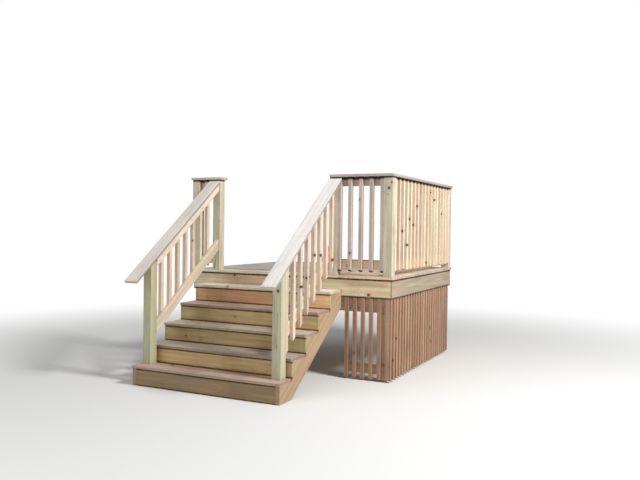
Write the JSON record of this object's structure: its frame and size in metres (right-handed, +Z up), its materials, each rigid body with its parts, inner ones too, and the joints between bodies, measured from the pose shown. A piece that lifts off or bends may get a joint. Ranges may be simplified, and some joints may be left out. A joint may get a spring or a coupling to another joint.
{
  "type": "wooden deck stairs",
  "caption": "Straight wooden stair with closed risers that climbs to a small raised deck, with square posts, baluster guards and flat handrails.",
  "frame": {"origin": "middle of the footprint's bounding box, at floor level", "axes": "+Z up, +Y up the flight from the first tread to the deck, +X to the right seen from the foot of the stair"},
  "size_m": [2.338, 3.434, 2.011],
  "materials": {
    "decking": "planed, slightly weathered",
    "risers": "planed boards",
    "framing": "sawn lumber",
    "skirt": "sawn slats",
    "posts": "planed square posts",
    "rails": "planed rails and balusters",
    "handrails": "planed flat boards",
    "caps": "planed flat boards"
  },
  "bodies": {
    "root": {"riser_1": "risers", "riser_2": "risers", "riser_3": "risers", "riser_4": "risers", "riser_5": "risers", "tread_1": "decking", "tread_2": "decking", "tread_3": "decking", "tread_4": "decking", "tread_5": "decking", "left_stringer": "framing", "middle_stringer": "framing", "right_stringer": "framing", "front_rim": "framing", "left_rim": "framing", "right_rim": "framing", "rear_rim": "framing", "joists": "framing", "front_beam": "framing", "rear_beam": "framing", "support_fl": "framing", "support_fr": "framing", "support_rl": "framing", "support_rr": "framing", "deck_boards": "decking", "front_skirt": "skirt", "right_skirt": "skirt", "left_newel": "posts", "right_newel": "posts", "left_upper_post": "posts", "right_upper_post": "posts", "wall_post": "posts", "corner_post": "posts", "far_post": "posts", "return_post": "posts", "left_stair_panel": "rails", "right_stair_panel": "rails", "left_guard_panel": "rails", "front_guard_panel": "rails", "right_guard_panel": "rails", "rear_guard_panel": "rails", "left_handrail": "handrails", "right_handrail": "handrails", "left_cap": "caps", "front_cap": "caps", "right_cap": "caps", "rear_cap": "caps"}
  },
  "joints": []
}
